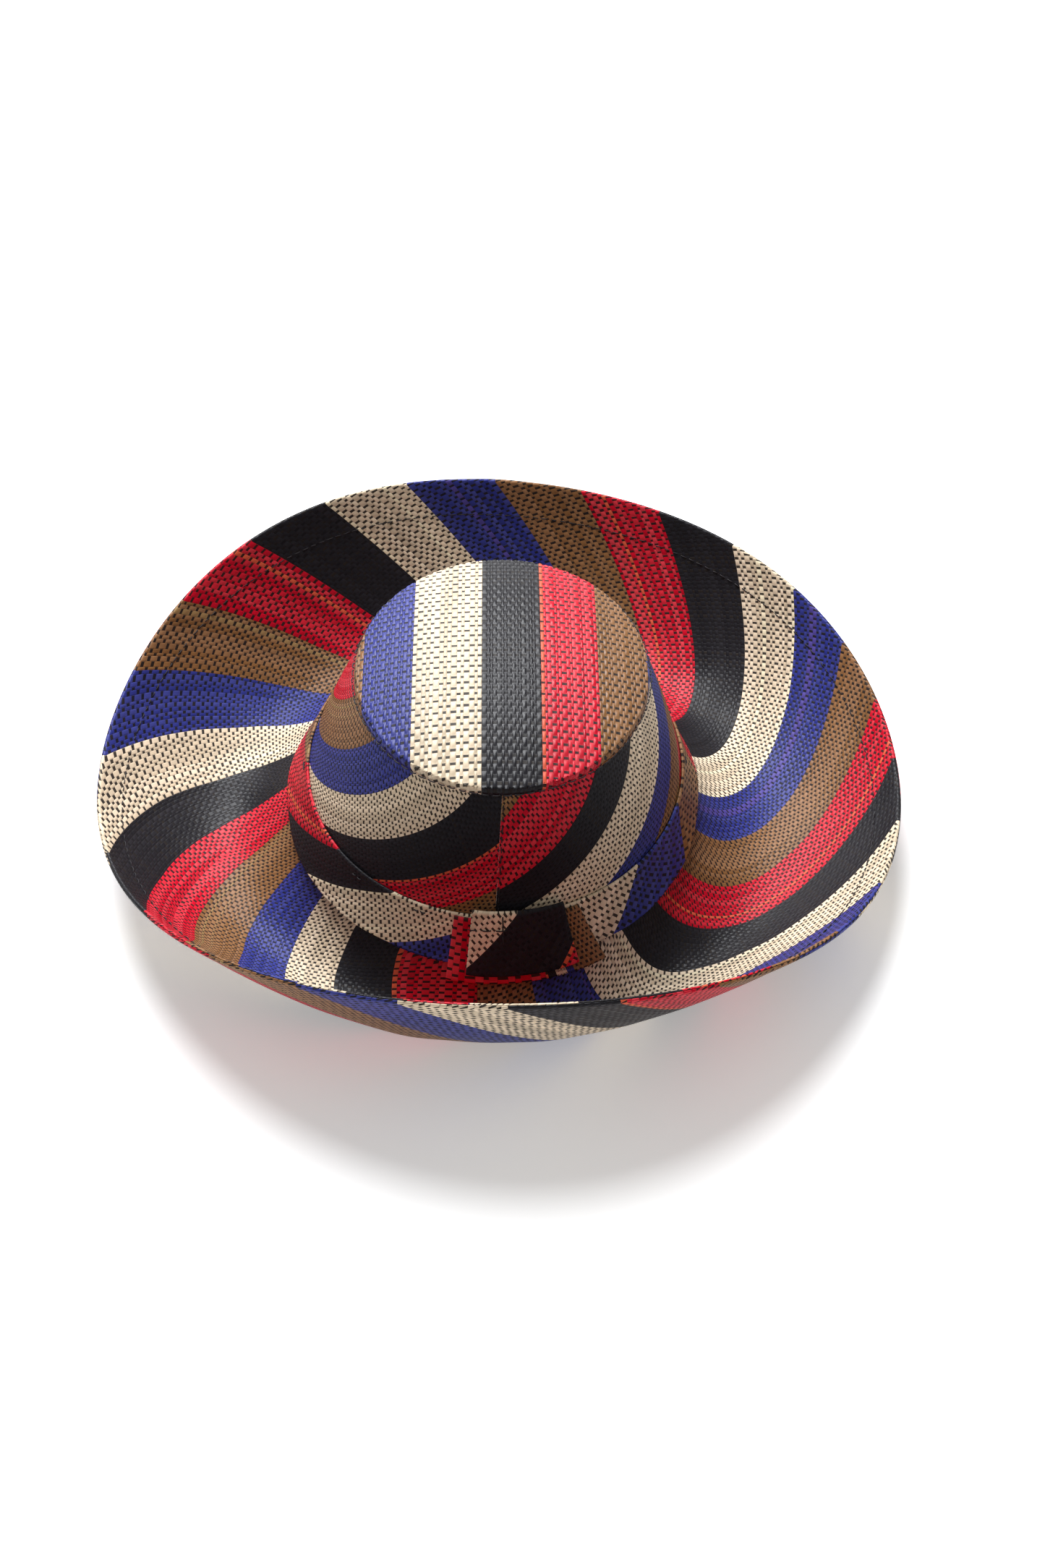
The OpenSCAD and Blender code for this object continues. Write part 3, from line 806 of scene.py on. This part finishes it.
def tape(name, node, angles, low, high, off, thick, wave):
    T, Z = np.meshgrid(angles, np.linspace(low, high, 16))
    K = (Z - low) / (high - low)
    soft = wave * K ** 2 * (0.6 + 0.4 * sind(6 * T) + 0.3 * sind(11 * T + 80))
    bead = 0.25 * np.exp(-((K - 0.96) / 0.03) ** 2) * (wave > 0)
    weave = np.stack([np.radians(T) * 96, Z], -1)
    piece = cloth(name, crown_at(T, Z, off - soft + bead), weave, cotton_tape, thick=thick)
    return place_cloth(piece, node)


sweat_t = np.linspace(BACK + seam_deg, BACK + 360 - seam_deg, 361)
tape("sweatband_tape", "sweatband", sweat_t, 0.5, SWEAT_H, SWEAT_OFF, COTTON - 0.1, 0.9)
tab_t = np.linspace(BACK - 4.7, BACK + 4.7, 24)
tape("sweatband_tab_tape", "sweatband_tab", tab_t, 2, SWEAT_H - 2, SWEAT_OFF - COTTON - GAP - 0.9, 0.7, 0.0)

# %% [markdown]
# ## Stitches
# A stitch is repeated hundreds of times along a path, which is work for Geometry Nodes. The
# tree turns a path into evenly spaced points, puts one short arched thread on each, turns it
# along the path and away from the cloth, and varies it a little. The result is then made a
# plain mesh, because an export drops instances.

# %% Running stitch as a node tree
def running_stitch():
    tree = bpy.data.node_groups.new("running_stitch", "GeometryNodeTree")
    tree.interface.new_socket("Path", in_out="INPUT", socket_type="NodeSocketGeometry")
    for label in ("Pitch", "Stitch Length", "Thread Diameter", "Rise"):
        tree.interface.new_socket(label, in_out="INPUT", socket_type="NodeSocketFloat")
    tree.interface.new_socket("Seed", in_out="INPUT", socket_type="NodeSocketInt")
    tree.interface.new_socket("Thread", in_out="INPUT", socket_type="NodeSocketMaterial")
    tree.interface.new_socket("Stitches", in_out="OUTPUT", socket_type="NodeSocketGeometry")
    start = tree.nodes.new("NodeGroupInput")

    def given(label):
        return Dye(tree, start.outputs[label])

    need = Dye(tree)
    curve = need.node("GeometryNodeMeshToCurve", {"Mesh": given("Path")})
    spaced = need.node("GeometryNodeResampleCurve", {"Curve": curve, "Length": given("Pitch")}, mode="LENGTH")
    half_length, rise = given("Stitch Length") * 0.5, given("Rise")

    def point(x, z):
        return need.node("ShaderNodeCombineXYZ", {"X": x, "Z": z})

    arch = need.node("GeometryNodeCurvePrimitiveBezierSegment", {
        "Resolution": 5,
        "Start": point(half_length * -1, rise * -0.6), "Start Handle": point(half_length * -0.6, rise),
        "End Handle": point(half_length * 0.6, rise), "End": point(half_length, rise * -0.6)})
    ring = need.node("GeometryNodeCurvePrimitiveCircle", {
        "Resolution": 6, "Radius": given("Thread Diameter") * 0.5}, mode="RADIUS")
    thread = need.node("GeometryNodeCurveToMesh", {"Curve": arch, "Profile Curve": ring, "Fill Caps": True})
    along = need.node("GeometryNodeInputTangent", {})
    away = need.node("GeometryNodeInputNamedAttribute", {"Name": "away"}, data_type="FLOAT_VECTOR")
    turn = need.node("FunctionNodeAlignRotationToVector", {"Vector": along}, axis="X")
    turn = need.node("FunctionNodeAlignRotationToVector", {"Rotation": turn, "Vector": away},
                     axis="Z", pivot_axis="X")
    tilt = need.node("FunctionNodeRandomValue", {"Min": (0, -0.05, -0.10), "Max": (0, 0.05, 0.10),
                                                 "Seed": given("Seed")}, data_type="FLOAT_VECTOR")
    tilt = need.node("FunctionNodeEulerToRotation", {"Euler": tilt})
    turn = need.node("FunctionNodeRotateRotation", {"Rotation": turn, "Rotate By": tilt},
                     rotation_space="LOCAL")
    size = need.node("FunctionNodeRandomValue", {"Min": (0.82, 0.9, 0.8), "Max": (1.15, 1.1, 1.2),
                                                 "Seed": given("Seed") + 7}, data_type="FLOAT_VECTOR")
    sewn = need.node("GeometryNodeInstanceOnPoints", {"Points": spaced, "Instance": thread, "Rotation": turn,
                                                      "Scale": size})
    sewn = need.node("GeometryNodeRealizeInstances", {"Geometry": sewn})
    sewn = need.node("GeometryNodeSetMaterial", {"Geometry": sewn, "Material": given("Thread")})
    end = tree.nodes.new("NodeGroupOutput")
    tree.links.new(sewn.socket, end.inputs[0])
    return tree


stitch_tree = running_stitch()
print("stitch tree nodes:", len(stitch_tree.nodes))

# %% Thread materials
def thread_material(name, colour, rough):
    """Twisted thread: fine diagonal plies in the object's own space, with small colour changes."""
    material, dye, skin = new_material(name, Specular_IOR_Level=0.2)
    spot = dye.node("ShaderNodeTexCoord", {}, out=3)
    twist = dye.node("ShaderNodeTexNoise", {"Vector": spot, "Scale": 900.0, "Detail": 2.0})
    mixed = twist.blend((*[c * 0.6 for c in colour], 1), (*[c * 1.5 for c in colour], 1))
    bump = dye.node("ShaderNodeBump", {"Height": twist, "Distance": 0.00012, "Strength": 1.0})
    for socket, value in (("Base Color", mixed), ("Roughness", rough + twist * 0.2), ("Normal", bump)):
        dye.tree.links.new(value.socket, skin.inputs[socket])
    return material


dark_thread = thread_material("waxed_thread_dark", (0.022, 0.019, 0.022), 0.45)
pale_thread = thread_material("cotton_thread_pale", (0.62, 0.55, 0.43), 0.65)


# %% Sewing a row
def sew(name, node, points, away, thread, pitch, length, rise=0.35, closed=False, width=0.55, seed=3):
    """One row of stitches. points and away are lists of paths, each an array in millimetres."""
    vertices, edges, normals = [], [], []
    for path, lift in zip(points, away):
        first = len(vertices)
        vertices += (path * MM).tolist()
        normals += lift.tolist()
        edges += [(first + i, first + i + 1) for i in range(len(path) - 1)]
        if closed:
            edges.append((first + len(path) - 1, first))
    mesh = bpy.data.meshes.new(name)
    mesh.from_pydata(vertices, edges, [])
    mesh.attributes.new("away", "FLOAT_VECTOR", "POINT").data.foreach_set(
        "vector", np.array(normals, np.float32).ravel())
    piece = bpy.data.objects.new(name, mesh)
    bpy.context.scene.collection.objects.link(piece)
    modifier = piece.modifiers.new("stitches", "NODES")
    modifier.node_group = stitch_tree
    values = {"Pitch": pitch * MM, "Stitch Length": length * MM, "Thread Diameter": width * MM,
              "Rise": rise * MM, "Seed": seed, "Thread": pale_thread if thread == "pale_thread" else dark_thread}
    for item in stitch_tree.interface.items_tree:
        if item.in_out == "INPUT" and item.name in values:
            modifier[item.identifier] = values[item.name]
    view = bpy.context.evaluated_depsgraph_get()
    sewn = bpy.data.meshes.new_from_object(piece.evaluated_get(view), depsgraph=view)
    piece.modifiers.clear()
    piece.data = sewn
    sewn.shade_smooth()
    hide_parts(node)
    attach(piece, "root")
    print(name, len(sewn.polygons), "faces")
    return piece


def ring_of(t, z, off):
    """A level row on the crown and the directions away from it."""
    t = np.asarray(t, float)
    z = np.broadcast_to(np.asarray(z, float), t.shape)
    away = crown_at(t, z, off + 1) - crown_at(t, z, off)
    return crown_at(t, z, off), away / np.linalg.norm(away, axis=-1)[:, None]


def brim_row(t, s, off):
    """A row on the brim. A negative off lies on the under side."""
    t, s = np.broadcast_arrays(np.asarray(t, float), np.asarray(s, float))
    turned = (t - UPPER_SEAM) % 360 + UPPER_SEAM - 360
    return brim_at(t, s, off + ripple(turned, s)), brim_up(t, s) * math.copysign(1, float(np.mean(off)))


# %% Crown stitches
around = np.linspace(0, 360, 361)[:-1]
path, lift = ring_of(around, CROWN_H - 0.9 + 0.2 * sind(9 * around), CLOTH + GAP + 0.15)
sew("tip_stitches_thread", "tip_stitches", [path], [lift], "dark_thread", 4.6, 3.2, closed=True)
up_z = np.linspace(BAND_HIGH + 2, CROWN_H - TIP_TURN - 1, 24)
for name, node, t in (("front_seam_thread", "front_seam_stitches", FRONT + 0.7),
                      ("back_seam_thread", "back_seam_stitches", BACK + 0.7)):
    path, lift = ring_of(np.full(24, t), up_z, 0.15)
    sew(name, node, [path], [lift], "dark_thread", 4.2, 2.4, width=0.5)
path, lift = ring_of(around, 2.5, 0.25)
sew("head_line_thread", "head_line_stitches", [path], [lift], "dark_thread", 4.5, 3.0, closed=True)

# %% Brim stitches
path, lift = brim_row(around, HEM - 0.005, ply_half(HEM) + CLOTH + 0.15)
sew("rim_thread", "rim_stitches", [path], [lift], "dark_thread", 4.4, 2.8, closed=True, width=0.5)
share = np.linspace(0.18, 0.9, 60)
path, lift = brim_row(np.full(60, UPPER_SEAM - 0.6), share, ply_half(share) + CLOTH + 0.15)
sew("upper_seam_thread", "upper_seam_stitches", [path], [lift], "dark_thread", 4.5, 2.8, width=0.5)
share = np.linspace(0.55, 0.9, 40)
path, lift = brim_row(np.full(40, LOWER_SEAM + 0.6), share, -ply_half(share) - CLOTH - 0.15)
sew("lower_seam_thread", "lower_seam_stitches", [path], [lift], "dark_thread", 4.5, 2.8, width=0.5)

# %% Band, knot and sweatband stitches
rows = [ring_of(np.linspace(t, t + 2, 4), BAND_HIGH - 2.6, 2 * CLOTH + GAP + 0.3) for t in range(0, 360, 45)
        if t != 270] + [ring_of(np.linspace(247, 249, 4), BAND_HIGH - 2.6, 2 * CLOTH + GAP + 0.3)]
sew("band_tack_thread", "band_tacks", [r[0] for r in rows], [r[1] for r in rows], "dark_thread", 1.6, 1.8)


def tack_row(u, z):
    """A row on the knot's top piece, from a share u of its width and a height z."""
    return ring_of(*knot_point(*FOLD_SHAPE, u, z, FOLD_OFF + 3 * CLOTH + 0.45))


tack_z = BAND_HIGH + KNOT_RISE - 7
tacks = [tack_row(np.linspace(0.02, 0.31, 12), np.full(12, tack_z)),
         tack_row(np.full(6, 0.33), np.linspace(tack_z - 4, tack_z + 4, 6))]
sew("knot_tack_thread", "knot_tacks", [r[0] for r in tacks], [r[1] for r in tacks], "dark_thread", 4.0, 3.8)
path, lift = ring_of(around, 2.2, SWEAT_OFF - COTTON - 0.15)
sew("sweatband_thread", "sweatband_stitches", [path], [-lift], "pale_thread", 4.2, 2.8, closed=True,
    width=0.5)

# %% [markdown]
# ## Wire and sleeve
# The wire and the sleeve that joins its ends lie inside the hem. Their CAD shapes are right,
# so they stay, and only get a finish: drawn steel with faint scratches, and dull aluminium.

# %% Metal finishes
def metal(name, colour, rough, scale):
    material, dye, skin = new_material(name, Metallic=1.0)
    spot = dye.node("ShaderNodeTexCoord", {}, out=3)
    grain = dye.node("ShaderNodeTexNoise", {"Vector": spot, "Scale": scale, "Detail": 4.0})
    mixed = grain.blend((*[c * 0.8 for c in colour], 1), (*colour, 1))
    bump = dye.node("ShaderNodeBump", {"Height": grain, "Distance": 0.00005, "Strength": 0.6})
    for socket, value in (("Base Color", mixed), ("Roughness", rough + grain * 0.15), ("Normal", bump)):
        dye.tree.links.new(value.socket, skin.inputs[socket])
    return material


for node, finish in (("rim_wire", metal("drawn_steel", (0.62, 0.62, 0.60), 0.28, 1500.0)),
                     ("wire_sleeve", metal("pressed_aluminium", (0.72, 0.72, 0.72), 0.42, 900.0))):
    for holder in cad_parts[node].material_slots:
        holder.material = finish

# %% [markdown]
# ## Floor, light and camera
# The hat stands on a plain white table, which glows faintly and evenly so that it stays near
# white. A wide soft light hangs high behind it, so the tip and the brim's back shine while the
# front of the crown stays in soft shade, and a pale surround fills the shadows.

# %% Floor
TABLE_HALF = 3.0
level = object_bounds()[0][2] - 0.0002
floor_mesh = bpy.data.meshes.new("floor")
corners = [(x * TABLE_HALF, y * TABLE_HALF, level) for x, y in ((-1, -1), (1, -1), (1, 1), (-1, 1))]
floor_mesh.from_pydata(corners, [], [(0, 1, 2, 3)])
floor = bpy.data.objects.new("floor", floor_mesh)
bpy.context.scene.collection.objects.link(floor)
table, _, skin = new_material("white_table", Roughness=0.75, Specular_IOR_Level=0.2)
skin.inputs["Base Color"].default_value = (0.95, 0.95, 0.952, 1)
skin.inputs["Emission Color"].default_value = (1, 1, 1, 1)
skin.inputs["Emission Strength"].default_value = 0.30
floor_mesh.materials.append(table)

# %% Light
def soft_light(name, place, aim, width, watts, colour=(1, 1, 1)):
    lamp = bpy.data.lights.new(name, "AREA")
    lamp.shape, lamp.size, lamp.energy, lamp.color = "DISK", width, watts, colour
    holder = bpy.data.objects.new(name, lamp)
    bpy.context.scene.collection.objects.link(holder)
    holder.location = place
    holder.rotation_euler = (Vector(aim) - Vector(place)).to_track_quat("-Z", "Y").to_euler()


soft_light("high_back_light", (-0.28, 1.12, 1.36), (0, 0, 0.05), 1.3, 68, (0.96, 0.98, 1.0))
world = bpy.data.worlds.new("pale_surround")
world.use_nodes = True
world.node_tree.nodes["Background"].inputs[0].default_value = (1.0, 0.97, 0.93, 1)
world.node_tree.nodes["Background"].inputs[1].default_value = 0.36
bpy.context.scene.world = world
bpy.context.scene.view_settings.view_transform = "Standard"

# %% Camera
ELEVATION, DISTANCE, LENS = 43.45, 1.173, 61.34
camera = bpy.data.cameras.new("camera")
camera.lens, camera.sensor_width, camera.sensor_fit = LENS, 36.0, "AUTO"
camera.shift_x, camera.shift_y = 0.0193, 0.0179
camera.clip_start = 0.05
view = bpy.data.objects.new("camera", camera)
bpy.context.scene.collection.objects.link(view)
rise = math.radians(ELEVATION)
view.location = (0, -DISTANCE * math.cos(rise), DISTANCE * math.sin(rise) - 0.008)
view.rotation_euler = (math.radians(90) - rise, 0, 0)
bpy.context.scene.camera = view
